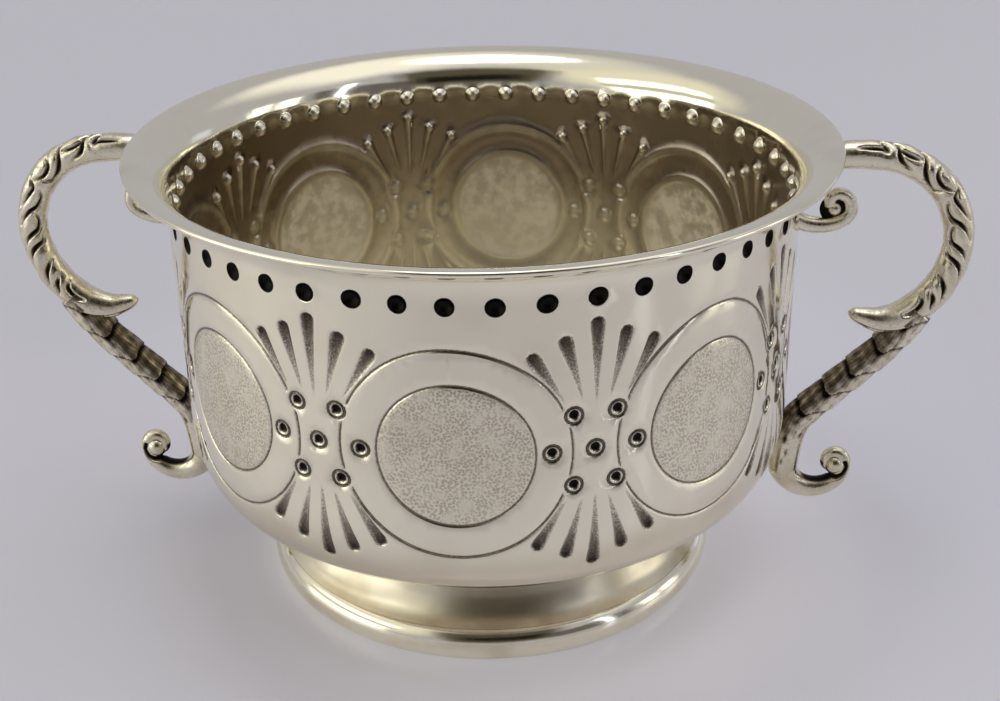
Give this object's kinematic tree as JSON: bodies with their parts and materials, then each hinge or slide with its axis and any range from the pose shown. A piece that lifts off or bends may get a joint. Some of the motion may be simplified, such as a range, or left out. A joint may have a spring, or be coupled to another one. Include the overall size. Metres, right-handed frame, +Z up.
{
  "type": "caudle cup",
  "caption": "Handled silver caudle cup: a chased round bowl with roundels, fans of flutes and a bead row, an everted lip, a moulded foot and cast scroll handles.",
  "frame": {"origin": "on the table, at the middle of the foot, on the bowl's axis", "axes": "+Z up along the bowl's axis, +X out through the right handle, -Y towards the roundel that faces the viewer"},
  "size_m": [0.1378, 0.1, 0.0655],
  "materials": {
    "polished_silver": "polished raised and spun silver with light wear",
    "cast_silver": "cast and carved silver, bright on the ridges and dark in the cuts"
  },
  "bodies": {
    "root": {"cup_bowl": "polished_silver", "foot_collar": "polished_silver", "foot_wire": "polished_silver", "left_leaf_arm": "cast_silver", "left_scaled_stem": "cast_silver", "left_upper_scroll": "cast_silver", "right_leaf_arm": "cast_silver", "right_scaled_stem": "cast_silver", "right_upper_scroll": "cast_silver"}
  },
  "joints": []
}
